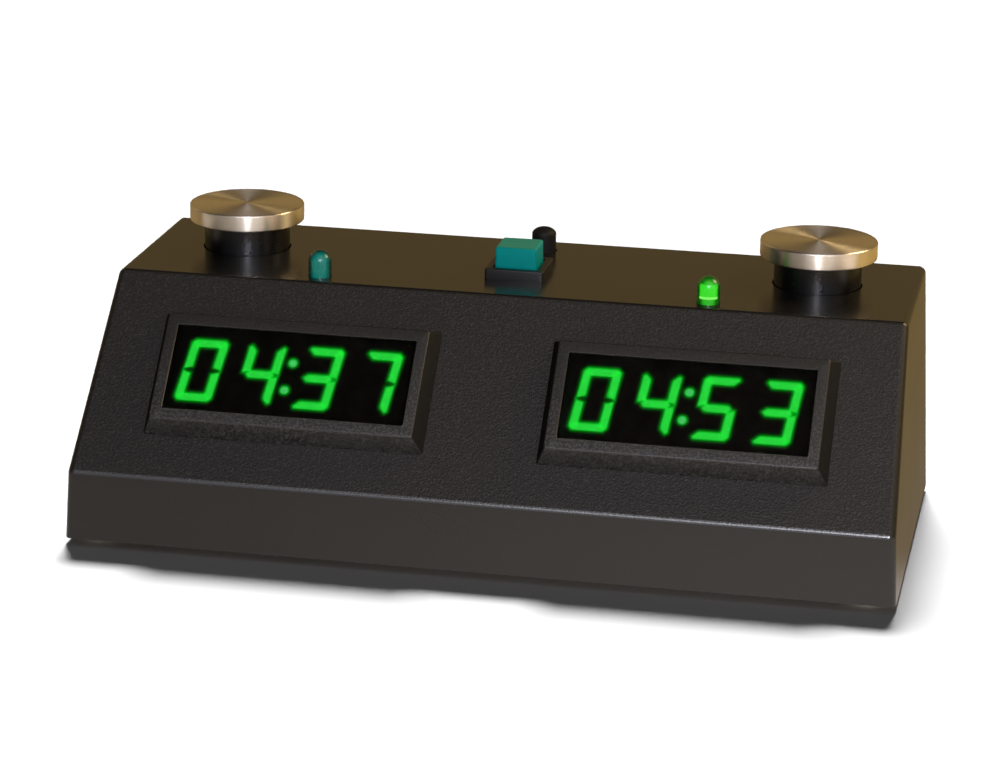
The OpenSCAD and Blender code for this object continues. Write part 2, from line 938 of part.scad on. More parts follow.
// Two wires from the battery box to the button board
module battery_leads() {
    wire_r = 0.7;
    bend = 3;
    z_low = 16;
    x_out = bay_x + bay_wall;
    color("#8e1b1b")
        for (y = [14, 20])
            translate([x_out, y, z_low]) {
                rotate([0, 90, 0])
                    cylinder(h = 3, r = wire_r);
                translate([3, 0, bend])
                    rotate([90, 0, 0])
                        rotate([0, 0, -90])
                            rotate_extrude(angle = 90)
                                translate([bend, 0])
                                    circle(r = wire_r, $fn = 24);
                translate([3 + bend, 0, bend])
                    cylinder(h = z_board - board_t - z_low - bend, r = wire_r);
            }
}

housing();
base_plate();
base_screws();
foot(FEET[0]);  // front_left_foot
foot(FEET[1]);  // front_right_foot
foot(FEET[2]);  // rear_left_foot
foot(FEET[3]);  // rear_right_foot
bezel(-1);  // left_bezel
bezel(1);  // right_bezel
lens(-1);  // left_lens
lens(1);  // right_lens
display(-1, LEFT_TIME);  // left_display
display(1, RIGHT_TIME);  // right_display
segments(-1, LEFT_TIME, 1);  // left_lit_segments
segments(1, RIGHT_TIME, 1);  // right_lit_segments
segments(-1, LEFT_TIME, 0);  // left_dark_segments
segments(1, RIGHT_TIME, 0);  // right_dark_segments
display_board();
display_board_screws();
microcontroller();
driver_chips();
crystal();
capacitors();
cable_sockets();
ribbon_cable();
button_board();
button_board_screws();
lamp(-1, "#0b8f78");  // left_lamp
lamp(1, "#2bff4a");  // right_lamp
lamp_leads();
lamp_spacers();
sounder();
cap(-1);  // left_cap
cap(1);  // right_cap
plunger(-1);  // left_plunger
plunger(1);  // right_plunger
guide(-1);  // left_guide
guide(1);  // right_guide
player_spring(-1);  // left_spring
player_spring(1);  // right_spring
plunger_clip(-1);  // left_clip
plunger_clip(1);  // right_clip
tact_switch(-button_x, button_y);  // left_switch
tact_switch(button_x, button_y);  // right_switch
reset_base();
reset_cap();
reset_spring();
reset_clip();
tact_switch(reset_x, reset_y);  // reset_switch
power_button();
power_guide();
power_spring();
tact_switch(power_x, power_y);  // power_switch
battery_box();
cells();
battery_contacts();
battery_door();
battery_leads();
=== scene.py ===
"""Looks of a chess clock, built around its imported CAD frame. Units are metres, in the frame of the CAD."""

import json
import math

import bmesh
import bpy
from mathutils import Matrix, Vector


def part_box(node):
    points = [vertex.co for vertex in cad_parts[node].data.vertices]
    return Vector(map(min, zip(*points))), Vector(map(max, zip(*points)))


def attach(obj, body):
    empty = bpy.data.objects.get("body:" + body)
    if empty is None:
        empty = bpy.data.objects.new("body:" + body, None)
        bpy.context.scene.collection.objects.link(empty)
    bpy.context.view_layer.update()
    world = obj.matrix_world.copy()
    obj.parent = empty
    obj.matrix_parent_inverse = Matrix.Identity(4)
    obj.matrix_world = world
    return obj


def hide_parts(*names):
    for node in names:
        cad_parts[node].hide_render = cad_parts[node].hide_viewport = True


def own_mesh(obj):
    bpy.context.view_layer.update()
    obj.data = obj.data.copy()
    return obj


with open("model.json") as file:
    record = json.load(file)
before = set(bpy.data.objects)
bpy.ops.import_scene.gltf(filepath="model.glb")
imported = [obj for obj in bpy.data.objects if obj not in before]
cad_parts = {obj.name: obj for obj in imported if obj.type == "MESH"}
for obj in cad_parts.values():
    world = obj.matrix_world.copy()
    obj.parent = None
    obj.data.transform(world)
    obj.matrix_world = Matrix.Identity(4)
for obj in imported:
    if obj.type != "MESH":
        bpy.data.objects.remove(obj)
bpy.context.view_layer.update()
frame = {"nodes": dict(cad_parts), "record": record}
NODES = frame["nodes"]
MM = 0.001


# ---------------------------------------------------------------- places taken from the frame

def middle(node):
    """Centre of a CAD node's box."""
    low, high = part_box(node)
    return (low + high) / 2


def axis_at(node):
    """Point below a round CAD node, on its vertical axis."""
    centre = middle(node)
    return Vector((centre.x, centre.y, 0))


def level(node, end):
    """Lowest (end 0) or highest (end 1) Z of a CAD node."""
    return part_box(node)[end].z


TOP = level("housing", 1)
LENS_T = 1 * MM
BEZEL_T = 4.6 * MM
DIGIT_SHIFT = -0.35 * MM


def panel_matrix():
    """Matrix of the sloping panel, found from the left window, which lies parallel to it:
    local X along the clock, local Y up the slope, local Z out of the panel."""
    low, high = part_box("left_lens")
    rise, depth = high.z - low.z, high.y - low.y
    # A plate of thickness t and height h, leaning by a, has the box (h cos a + t sin a, h sin a + t cos a)
    angle = math.atan2(rise, depth)
    for _ in range(20):
        height = (rise - LENS_T * math.cos(angle)) / math.sin(angle)
        angle = math.acos((depth - LENS_T * math.sin(angle)) / height)
    return Matrix.Rotation(angle, 4, "X")


PANEL_TURN = panel_matrix()
PANEL_OUT = PANEL_TURN @ Vector((0, 0, 1))
PANEL_DOWN = PANEL_TURN @ Vector((0, -1, 0))


def on_panel(node, above):
    """Matrix at the middle of a node that lies on the panel; above is how far the node's
    middle stands out of the panel's outer face."""
    centre = middle(node) - PANEL_OUT * above
    return Matrix.Translation(centre) @ PANEL_TURN


# ---------------------------------------------------------------- camera, light and floor

def look_at(position, target, roll=0.0):
    forward = (target - position).normalized()
    return forward.to_track_quat("-Z", "Y") @ Matrix.Rotation(roll, 3, "Z").to_quaternion()


def spherical(azimuth, elevation, distance, target):
    """Point at a distance from target. Azimuth 0 is in front of the clock and grows to the right."""
    a, e = math.radians(azimuth), math.radians(elevation)
    return target + distance * Vector((math.sin(a) * math.cos(e), -math.cos(a) * math.cos(e), math.sin(e)))


def make_camera():
    azimuth, elevation, roll = 10.936, 17.302, 0.965
    distance = 0.7365
    data = bpy.data.cameras.new("camera")
    data.sensor_width = 36
    data.lens = 122.2
    camera = bpy.data.objects.new("camera", data)
    bpy.context.scene.collection.objects.link(camera)
    aim = Vector((-1.93, -1.75, 29.59)) * MM
    camera.location = spherical(azimuth, elevation, distance, aim)
    camera.rotation_mode = "QUATERNION"
    camera.rotation_quaternion = look_at(camera.location, aim, math.radians(roll))
    data.clip_start, data.clip_end = 0.01, 50
    bpy.context.scene.camera = camera


def aimed(data, name, azimuth, elevation, distance):
    """Puts a lamp on a sphere round the middle of the clock, pointing at it."""
    light = bpy.data.objects.new(name, data)
    bpy.context.scene.collection.objects.link(light)
    target = Vector((0, 0, 0.03))
    light.location = spherical(azimuth, elevation, distance, target)
    light.rotation_mode = "QUATERNION"
    light.rotation_quaternion = look_at(light.location, target)
    return light


def area_light(name, azimuth, elevation, distance, size, power, tint):
    data = bpy.data.lights.new(name, "AREA")
    data.shape = "RECTANGLE"
    data.size, data.size_y = size
    data.energy = power
    data.color = tint
    return aimed(data, name, azimuth, elevation, distance)


def sun_light(name, azimuth, elevation, angle, strength):
    data = bpy.data.lights.new(name, "SUN")
    data.angle = math.radians(angle)
    data.energy = strength
    return aimed(data, name, azimuth, elevation, 1.0)


def link_light(light, floor, state):
    """Lets a light shine on the floor only (INCLUDE) or on everything but the floor (EXCLUDE)."""
    receivers = bpy.data.collections.new(f"{light.name}_receivers")
    receivers.objects.link(floor)
    light.light_linking.receiver_collection = receivers
    receivers.collection_objects[0].light_linking.link_state = state


def make_lights(floor):
    """The sun makes the floor white and draws its shadow; the area lights light the clock.
    Angles are azimuth and elevation in degrees, then come distance, size, power and tint."""
    sun = sun_light("window_behind", -171, 55, 16, 5.2)
    link_light(sun, floor, "INCLUDE")
    flash = area_light("flash", 10.9, 19, 0.75, (0.05, 0.04), 1.55, (0.90, 0.86, 0.97))
    warm_lamp = area_light("warm_lamp", 112, 42, 0.38, (0.15, 0.15), 0.66, (1.0, 0.76, 0.42))
    front_window = area_light("front_window", 15, 30, 0.6, (0.5, 0.08), 0.75, (0.90, 0.93, 1.0))
    high_behind = area_light("high_behind", 170, 48, 0.8, (0.3, 0.3), 2.6, (1.0, 0.97, 0.92))
    high_behind.visible_glossy = False
    for lamp in (flash, warm_lamp, front_window, high_behind):
        link_light(lamp, floor, "EXCLUDE")


def make_world():
    """White for the camera. Reflections see a room: warm and dim behind, dark overhead, soft in front."""
    world = bpy.data.worlds.new("room")
    bpy.context.scene.world = world
    world.use_nodes = True
    tree = world.node_tree
    tree.nodes.clear()
    g = Graph(tree)
    direction = g.add("ShaderNodeTexCoord").outputs["Generated"]
    parts = g.add("ShaderNodeSeparateXYZ", Vector=direction)
    x, y, z = (parts.outputs[axis] for axis in "XYZ")
    back_low = g.maths("MULTIPLY", g.step(y, 0.25, 0.8), g.step(z, 0.56, 0.33))
    back_side = g.maths("MULTIPLY", g.step(y, 0.0, 0.4), g.step(g.maths("ABSOLUTE", x), 0.30, 0.60))
    front = g.mix(g.step(x, -0.55, 0.30), (0.03, 0.024, 0.020), (0.95, 0.74, 0.60))
    window = g.maths("MULTIPLY", g.step(y, -0.42, -0.80), g.step(x, -0.5, 0.2, 0.3, 1.0))
    front = g.mix(window, front, (0.80, 0.85, 1.0))
    room = g.mix(g.step(y, 0.02, -0.46), (0.03, 0.028, 0.027), front)
    room = g.mix(back_side, room, (0.36, 0.27, 0.13))
    room = g.mix(back_low, room, (0.25, 0.17, 0.068))
    rays = g.add("ShaderNodeLightPath").outputs
    colour = g.mix(rays["Is Glossy Ray"], (0.06, 0.06, 0.06), room)
    colour = g.mix(rays["Is Camera Ray"], colour, (1, 1, 1))
    background = g.add("ShaderNodeBackground", Color=colour, Strength=1.0)
    output = g.add("ShaderNodeOutputWorld")
    g.link(background.outputs[0], output.inputs["Surface"])


def make_floor():
    """Pale floor. Reflections see a glowing table colour instead, a painted reflection: a painted pool of
    light in front of the clock, warm and dim elsewhere.
    """
    mesh = bpy.data.meshes.new("floor")
    half = 3.0
    corners = [(-half, -half, 0), (half, -half, 0), (half, half, 0), (-half, half, 0)]
    mesh.from_pydata(corners, [], [(0, 1, 2, 3)])
    floor = bpy.data.objects.new("floor", mesh)
    bpy.context.scene.collection.objects.link(floor)
    look = Look("floor_pale", (0.8, 0.8, 0.8), roughness=0.9)
    place = look.add("ShaderNodeSeparateXYZ", Vector=look.where).outputs
    # Painted pool of light in front of the clock, seen only in reflections.
    painted_pool_share = look.maths("MULTIPLY", look.step(place["Y"], -0.17, -0.10), look.step(place["Y"], 0.0, -0.04))
    bright = look.mix(look.step(place["X"], -0.10, 0.09), (0.80, 0.70, 0.61), (1.30, 1.14, 1.03))
    painted_table_glow = look.mix(look.step(place["Y"], -0.05, 0.02), (0.25, 0.205, 0.135), (0.27, 0.19, 0.088))
    beside = look.mix(look.step(place["X"], 0.09, 0.135), (0.52, 0.39, 0.23), (0.50, 0.33, 0.10))
    painted_table_glow = look.mix(look.step(place["X"], 0.075, 0.09), painted_table_glow, beside)
    painted_table_glow = look.mix(painted_pool_share, painted_table_glow, bright)
    mottle = look.noise(look.where, 0.05, 4)
    look.set("Base Color", look.mix(mottle, (0.79, 0.79, 0.80), (0.81, 0.81, 0.82)))
    look.set("Specular IOR Level", 0.1)
    # Reflections see the table colour as a glow, a painted reflection that no lamp or shadow changes.
    reflected = look.add("ShaderNodeLightPath").outputs["Is Glossy Ray"]
    look.blend(reflected, look.add("ShaderNodeEmission", Color=painted_table_glow))
    mesh.materials.append(look.material)
    return floor


# ---------------------------------------------------------------- node helpers

class Graph:
    """Short calls for a node tree."""

    def __init__(self, tree):
        self.tree = tree

    def link(self, source, target):
        self.tree.links.new(source, target)

    def feed(self, socket, value):
        if isinstance(value, bpy.types.NodeSocket):
            self.link(value, socket)
        elif isinstance(value, (tuple, list, Vector)) and len(value) == 3 and socket.type == "RGBA":
            socket.default_value = (*value, 1)
        else:
            socket.default_value = value

    def add(self, kind, props=None, **inputs):
        node = self.tree.nodes.new(kind)
        for key, value in (props or {}).items():
            setattr(node, key, value)
        for key, value in inputs.items():
            self.feed(node.inputs[key.replace("_", " ")], value)
        return node

    def maths(self, operation, a, b=0.0):
        node = self.tree.nodes.new("ShaderNodeMath")
        node.operation = operation
        self.feed(node.inputs[0], a)
        self.feed(node.inputs[1], b)
        return node.outputs[0]

    def dot(self, a, b):
        node = self.tree.nodes.new("ShaderNodeVectorMath")
        node.operation = "DOT_PRODUCT"
        self.feed(node.inputs[0], a)
        self.feed(node.inputs[1], b)
        return node.outputs["Value"]

    def step(self, value, low, high, out_low=0.0, out_high=1.0):
        """Smooth step of value between low and high."""
        node = self.tree.nodes.new("ShaderNodeMapRange")
        node.interpolation_type = "SMOOTHSTEP"
        for key, number in (("From Min", low), ("From Max", high), ("To Min", out_low), ("To Max", out_high)):
            node.inputs[key].default_value = number
        self.feed(node.inputs["Value"], value)
        return node.outputs["Result"]

    def mix(self, factor, a, b):
        node = self.tree.nodes.new("ShaderNodeMix")
        node.data_type = "RGBA"
        self.feed(node.inputs["Factor"], factor)
        self.feed(node.inputs[6], a)
        self.feed(node.inputs[7], b)
        return node.outputs[2]

    def noise(self, where, size, detail=3.0, rough=0.5):
        """Noise from 0 to 1 whose features are about size metres across."""
        node = self.add("ShaderNodeTexNoise", Vector=where, Scale=1 / size, Detail=detail, Roughness=rough)
        return node.outputs["Fac"]


class Look(Graph):
    """A material with one Principled shader."""

    def __init__(self, name, colour, roughness=0.5, metallic=0.0):
        self.material = bpy.data.materials.new(name)
        self.material.use_nodes = True
        super().__init__(self.material.node_tree)
        self.shader = self.tree.nodes["Principled BSDF"]
        self.set("Base Color", colour)
        self.set("Roughness", roughness)
        self.set("Metallic", metallic)
        self.where = self.add("ShaderNodeTexCoord").outputs["Object"]

    def set(self, socket, value):
        self.feed(self.shader.inputs[socket], value)

    def along(self, axis):
        """The object's own X, Y or Z."""
        return self.add("ShaderNodeSeparateXYZ", Vector=self.where).outputs[axis]

    def bump(self, height, depth):
        """Bumps of about depth metres from a height of 0 to 1."""
        node = self.add("ShaderNodeBump", Height=height, Distance=depth, Strength=1.0)
        self.link(node.outputs["Normal"], self.shader.inputs["Normal"])

    def show(self, shader):
        """Makes another shader the surface."""
        self.link(shader.outputs[0], self.tree.nodes["Material Output"].inputs["Surface"])

    def blend(self, share, other):
        """Makes the surface a mix of the main shader and a share of another."""
        both = self.add("ShaderNodeMixShader", Fac=share)
        self.link(self.shader.outputs[0], both.inputs[1])
        self.link(other.outputs[0], both.inputs[2])
        self.show(both)


# ---------------------------------------------------------------- materials

def tone(colour, factor):
    return tuple(c * factor for c in colour)


def moulded(name, colour, roughness, grain=0.3 * MM, depth=0.012 * MM, variation=0.18):
    """Moulded plastic: fine spark-eroded grain, with a little handling shine and colour drift."""
    look = Look(name, colour, roughness)
    drift = look.noise(look.where, 14 * MM, 4)
    fine = look.noise(look.where, grain, 2, 0.6)
    look.set("Base Color", look.mix(drift, tone(colour, 1 - variation), tone(colour, 1 + variation)))
    shine = look.maths("ADD", look.maths("MULTIPLY", drift, 0.12), look.maths("MULTIPLY", fine, 0.10))
    look.set("Roughness", look.maths("ADD", shine, roughness - 0.11))
    look.bump(fine, depth)
    return look


def case_look():
    """The case: leather grain on the sloping panel, whose lighter flecks are painted glints, a glossy top, a
    satin skin elsewhere.
    """
    dark = (0.0075, 0.0067, 0.0060)
    look = Look("case_plastic_look", dark, 0.4)
    normal = look.add("ShaderNodeNewGeometry").outputs["Normal"]
    on_slope = look.step(look.dot(normal, tuple(PANEL_OUT)), 0.93, 0.985)
    on_top = look.step(look.dot(normal, (0, 0, 1)), 0.76, 0.90)
    drift = look.noise(look.where, 22 * MM, 4)
    speckle = look.noise(look.where, 0.55 * MM, 3, 0.65)
    pits = look.add("ShaderNodeTexVoronoi", {"feature": "SMOOTH_F1"}, Vector=look.where,
                    Scale=1 / (0.42 * MM), Smoothness=0.6, Randomness=1.0).outputs["Distance"]
    colour = look.mix(drift, tone(dark, 0.8), tone(dark, 1.25))
    # Painted glints: lighter flecks on the panel's grain.
    painted_light_flecks = look.maths("MULTIPLY", on_slope, look.step(speckle, 0.48, 0.72))
    look.set("Base Color", look.mix(painted_light_flecks, colour, tone(dark, 4.2)))
    on_edge = look.step(look.dot(normal, (0, -0.93, 0.37)), 0.965, 0.99)
    rough = look.maths("ADD", look.step(on_slope, 0, 1, 0.38, 0.50), look.step(on_top, 0, 1, 0.0, -0.16))
    rough = look.maths("SUBTRACT", rough, look.maths("MULTIPLY", on_edge, 0.16))
    rough = look.maths("ADD", rough, look.maths("MULTIPLY", look.maths("SUBTRACT", drift, 0.5), 0.06))
    look.set("Roughness", rough)
    gloss = look.maths("ADD", look.step(on_top, 0, 1, 0.5, 0.7), look.maths("MULTIPLY", on_edge, 0.9))
    look.set("Specular IOR Level", gloss)
    height = look.maths("ADD", look.maths("MULTIPLY", pits, 0.6), look.maths("MULTIPLY", speckle, 0.6))
    relief = look.maths("ADD", look.step(on_slope, 0, 1, 0.14, 1.0), look.step(on_top, 0, 1, 0.0, -0.11))
    look.bump(look.maths("MULTIPLY", height, relief), 0.10 * MM)
    return look


def turned_metal_look():
    """Face-turned metal: fine rings round the object's own axis and a wedge-shaped shine."""
    colour = (0.95, 0.86, 0.73)
    look = Look("turned_metal_look", colour, 0.3, 1.0)
    look.set("Anisotropic", 0.9)
    look.set("Anisotropic Rotation", 0.25)
    tangent = look.add("ShaderNodeTangent", {"direction_type": "RADIAL", "axis": "Z"})
    look.link(tangent.outputs[0], look.shader.inputs["Tangent"])
    radius = look.add("ShaderNodeVectorMath", {"operation": "LENGTH"})
    flat = look.add("ShaderNodeVectorMath", {"operation": "MULTIPLY"})
    look.link(look.where, flat.inputs[0])
    flat.inputs[1].default_value = (1, 1, 0)
    look.link(flat.outputs[0], radius.inputs[0])
    height = look.along("Z")
    across = look.maths("ADD", radius.outputs["Value"], height)
    line = look.add("ShaderNodeCombineXYZ", X=across)
    ring = look.noise(line.outputs[0], 0.16 * MM, 2, 0.7)
    band = look.noise(line.outputs[0], 1.6 * MM, 2)
    smudge = look.noise(look.where, 5 * MM, 3)
    look.set("Base Color", look.mix(band, tone(colour, 0.86), tone(colour, 1.1)))
    rough = look.maths("ADD", look.maths("MULTIPLY", ring, 0.14), look.maths("MULTIPLY", smudge, 0.16))
    look.set("Roughness", look.maths("ADD", rough, 0.16))
    look.bump(ring, 0.004 * MM)
    return look


def gloss_black_look(name, roughness, colour):
    """Polished black plastic with faint swirls and a trace of dust."""
    look = Look(name, colour, roughness)
    swirl = look.noise(look.where, 3 * MM, 5, 0.6)
    dust = look.step(look.noise(look.where, 0.25 * MM, 2), 0.62, 0.8)
    look.set("Base Color", look.mix(look.maths("MULTIPLY", dust, 0.35), colour, (0.03, 0.029, 0.027)))
    look.set("Roughness", look.maths("ADD", look.maths("MULTIPLY", swirl, 0.10), roughness - 0.05))
    look.bump(swirl, 0.01 * MM)
    return look


def glow_film_look():
    """Clear film that adds green light where its mesh says so."""
    look = Look("glow_film_look", (0, 0, 0))
    share = look.add("ShaderNodeAttribute", {"attribute_name": "glow"}).outputs["Fac"]
    mottle = look.step(look.noise(look.where, 0.7 * MM, 2), 0.2, 0.8, 0.85, 1.15)
    strength = look.maths("MULTIPLY", share, mottle)
    light = look.add("ShaderNodeEmission", Color=(0.0, 0.50, 0.012), Strength=strength)
    clear = look.add("ShaderNodeBsdfTransparent")
    both = look.add("ShaderNodeAddShader")
    look.link(light.outputs[0], both.inputs[0])
    look.link(clear.outputs[0], both.inputs[1])
    look.show(both)
    return look


def display_look():
    """Black face of a display, bonded to its window, so it hardly reflects anything."""
    look = moulded("display_body_look", (0.0016, 0.0005, 0.0007), 0.5, 0.5 * MM, 0.002 * MM)
    look.set("Specular IOR Level", 0.04)
    return look


def lit_segment_look():
    """Lit diffusing resin with a faint grain; the colon dots are paler than the digits."""
    digit, dot = (0.012, 0.74, 0.045), (0.075, 0.58, 0.16)
    look = Look("lit_segment_look", tone(digit, 0.25), 0.35)
    x = look.along("X")
    off_left = look.maths("ABSOLUTE", look.maths("SUBTRACT", x, middle("left_lens").x + DIGIT_SHIFT))
    off_right = look.maths("ABSOLUTE", look.maths("SUBTRACT", x, middle("right_lens").x + DIGIT_SHIFT))
    is_dot = look.step(look.maths("MINIMUM", off_left, off_right), 1.9 * MM, 1.7 * MM)
    grain = look.noise(look.where, 0.5 * MM, 2)
    colour = look.mix(grain, tone(digit, 0.9), (0.03, 0.85, 0.07))
    look.set("Emission Color", look.mix(is_dot, colour, dot))
    look.set("Emission Strength", 0.74)
    look.set("Specular IOR Level", 0.1)
    return look


def lens_look():
    """Clear acrylic window with a thin film of dust, which spreads a little of the light behind it."""
    look = Look("window_look", (0.92, 0.95, 0.92), 0.03)
    look.set("Transmission Weight", 1.0)
    look.set("IOR", 1.12)
    look.set("Specular IOR Level", 0.12)
    film = look.noise(look.where, 6 * MM, 4)
    look.bump(look.noise(look.where, 9 * MM, 1), 0.004 * MM)
    haze = look.add("ShaderNodeBsdfRefraction", Color=(0.9, 0.95, 0.9), Roughness=0.55, IOR=1.12)
    look.blend(look.step(film, 0.2, 0.8, 0.26, 0.40), haze)
    return look


def lamp_look(name, edge, core):
    """Tinted epoxy of a lamp, with painted shading: darker where it is seen edge-on and brighter through its
    middle.
    """
    look = Look(name, edge, 0.10)
    facing = look.add("ShaderNodeLayerWeight", Blend=0.5).outputs["Facing"]
    cloud = look.noise(look.where, 0.9 * MM, 3)
    # Painted shading: the colour darkens towards the edges and lightens in the middle by the angle it is seen
    # at.
    through = look.maths("MULTIPLY", look.step(facing, 0.62, 0.10), look.step(cloud, 0.1, 0.6, 0.75, 1.0))
    look.set("Base Color", look.mix(through, edge, core))
    look.set("Coat Weight", 0.15)
    look.set("Coat Roughness", 0.1)
    look.set("Roughness", look.maths("ADD", look.maths("MULTIPLY", cloud, 0.12), 0.2))
    look.facing = facing
    return look


def lamp_off_look():
    """Unlit lamp, with a painted glow in its middle that stands in for the room's light passing through its
    resin.
    """
    look = lamp_look("lamp_off_look", (0.0, 0.018, 0.013), (0.0, 0.14, 0.105))
    # Painted glow: emission in the middle of an unlit lamp.
    painted_glow_share = look.step(look.facing, 0.5, 0.06)
    look.set("Emission Color", look.mix(painted_glow_share, (0.0, 0.004, 0.003), (0.0, 0.075, 0.062)))
    look.set("Emission Strength", 1.0)
    return look


def lamp_on_look():
    """A bright chip low in the lamp, which fills the middle of the lens and fades towards its tip."""
    look = lamp_look("lamp_on_look", (0.0, 0.03, 0.0), (0.01, 0.2, 0.01))
    height = look.maths("SUBTRACT", look.along("Z"), TOP)
    body = look.maths("MULTIPLY", look.step(height, 1 * MM, 1.5 * MM), look.step(height, 4.7 * MM, 4.2 * MM))
    core = look.maths("MULTIPLY", body, look.step(look.facing, 0.42, 0.28))
    streak = look.maths("MULTIPLY", look.step(look.facing, 0.30, 0.05), 0.55)
    rim = look.maths(
        "MULTIPLY", look.step(height, 1.1 * MM, 1.4 * MM), look.step(height, 1.9 * MM, 1.6 * MM))
    hot = look.maths("MULTIPLY", rim, look.step(look.facing, 0.45, 0.30))
    share = look.maths("MAXIMUM", core, streak)
    colour = look.mix(share, (0.0, 0.045, 0.0), (0.028, 0.68, 0.012))
    look.set("Emission Color", look.mix(hot, colour, (0.26, 1.0, 0.15)))
    seen = look.add("ShaderNodeLightPath").outputs["Is Glossy Ray"]
    look.set("Emission Strength", look.step(seen, 0, 1, 0.86, 0.18))
    return look


def dark_segment_look():
    """Unlit resin, only just lighter than the display's face."""
    look = moulded("dark_segment_look", (0.0026, 0.0013, 0.0012), 0.6, 0.5 * MM, 0.004 * MM)
    look.set("Specular IOR Level", 0.03)
    return look


def bezel_look():
    """Black plastic: coarse grain on the front land, with lighter flecks of painted light lower down and on
    the lower bevel, and left bevels that barely reflect as painted shade.
    """
    dark = (0.0055, 0.005, 0.0045)
    look = Look("bezel_plastic_look", dark, 0.4)
    normal = look.add("ShaderNodeNewGeometry").outputs["Normal"]
    on_front = look.step(look.dot(normal, tuple(PANEL_OUT)), 0.90, 0.98)
    speckle = look.noise(look.where, 0.5 * MM, 3, 0.7)
    drift = look.noise(look.where, 12 * MM, 3)
    # Painted light: lighter flecks grow denser down the front land and cover the lower bevel.
    painted_light_downwards = look.step(look.along("Y"), 11 * MM, -11 * MM, 0.25, 1.3)
    on_lower = look.step(look.dot(normal, tuple(PANEL_DOWN)), 0.75, 0.90)
    left_painted_shade = look.step(look.dot(normal, (-1, 0, 0)), 0.70, 0.88)
    painted_light_share = look.maths("ADD", look.maths("MULTIPLY", on_front, painted_light_downwards), look.maths("MULTIPLY", on_lower, 1.1))
    painted_light_flecks = look.maths("MULTIPLY", painted_light_share, look.step(speckle, 0.42, 0.66))
    colour = look.mix(drift, tone(dark, 0.8), tone(dark, 1.2))
    look.set("Base Color", look.mix(painted_light_flecks, colour, (0.05, 0.047, 0.044)))
    rough = look.step(on_front, 0, 1, 0.36, 0.44)
    look.set("Roughness", look.maths("ADD", rough, look.maths("MULTIPLY", drift, 0.06)))
    # Painted shade: the left bevels get almost no reflection, so they stay dark.
    shine = look.maths("MULTIPLY", look.step(on_front, 0, 1, 0.75, 0.6), look.step(left_painted_shade, 0, 1, 1.0, 0.03))
    look.set("Specular IOR Level", shine)
    look.bump(look.maths("MULTIPLY", speckle, look.step(on_front, 0, 1, 0.1, 1.0)), 0.08 * MM)
    return look


def board_look():
    """Circuit board: solder mask over faint tracks."""
    look = Look("board_look", (0.02, 0.12, 0.05), 0.35)
    tracks = look.add("ShaderNodeTexBrick", Vector=look.where, Scale=220.0, Color1=(0.0, 0.0, 0.0),
                      Color2=(0.2, 0.2, 0.2), Mortar=(1.0, 1.0, 1.0)).outputs["Fac"]
    weave = look.noise(look.where, 0.8 * MM, 3)
    look.set("Base Color", look.mix(tracks, (0.018, 0.10, 0.04), (0.03, 0.17, 0.07)))
    look.set("Roughness", look.maths("ADD", look.maths("MULTIPLY", weave, 0.2), 0.25))
    look.bump(tracks, 0.03 * MM)
    return look


def metal_look(name, colour, roughness, brushed=0.0):
    """Bright metal with fine scratches and faint patches; brushed stretches its shine."""
    look = Look(name, colour, roughness, 1.0)
    look.set("Anisotropic", brushed)
    scratch = look.noise(look.where, 0.4 * MM, 4, 0.7)
    patch = look.noise(look.where, 4 * MM, 3)
    look.set("Base Color", look.mix(patch, tone(colour, 0.82), tone(colour, 1.08)))
    look.set("Roughness", look.maths("ADD", look.maths("MULTIPLY", scratch, 0.2), roughness - 0.1))
    look.bump(scratch, 0.006 * MM)
    return look


def cell_look():
    """Cells lying end to end in pairs: green wrap, a copper band at the positive end, bare steel ends."""
    look = Look("cell_wrap_look", (0.02, 0.12, 0.05), 0.3)
    pitch, length = 55.2 * MM, 49.2 * MM
    x = look.along("X")
    cells_along = look.maths("DIVIDE", look.maths("SUBTRACT", x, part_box("cells")[0].x), pitch)
    along = look.maths("MULTIPLY", look.maths("FRACT", cells_along), pitch / length)
    scuff = look.noise(look.where, 1.5 * MM, 4)
    wrap = look.mix(scuff, (0.015, 0.09, 0.035), (0.025, 0.15, 0.06))
    wrap = look.mix(look.step(along, 0.680, 0.684), wrap, (0.75, 0.74, 0.70))
    wrap = look.mix(look.step(along, 0.694, 0.698), wrap, (0.60, 0.27, 0.10))
    bare = look.maths("MAXIMUM", look.step(along, 0.986, 0.990), look.step(along, 0.012, 0.008))
    look.set("Base Color", look.mix(bare, wrap, (0.62, 0.62, 0.60)))
    look.set("Metallic", look.maths("MAXIMUM", bare, look.step(along, 0.694, 0.698, 0.0, 0.6)))
    look.set("Roughness", look.maths("ADD", look.maths("MULTIPLY", scuff, 0.2), 0.2))
    look.bump(scuff, 0.01 * MM)
    return look


def push_cap_look():
    """Teal cap, with painted light on its top face, which is a duller, warmer green than its sides."""
    teal, dull = (0.0, 0.275, 0.255), (0.028, 0.22, 0.138)
    look = moulded("green_plastic_look", teal, 0.36, 0.5 * MM, 0.008 * MM, 0.08)
    normal = look.add("ShaderNodeNewGeometry").outputs["Normal"]
    # Painted light: the upward-facing top gets its own colour.
    top_painted_light = look.maths("MULTIPLY", look.step(look.dot(normal, (0, 0, 1)), 0.6, 1.0), 0.85)
    cloud = look.noise(look.where, 2 * MM, 3)
    face = look.mix(cloud, tone(teal, 0.93), tone(teal, 1.07))
    look.set("Base Color", look.mix(top_painted_light, face, dull))
    look.set("Specular IOR Level", 0.07)
    return look


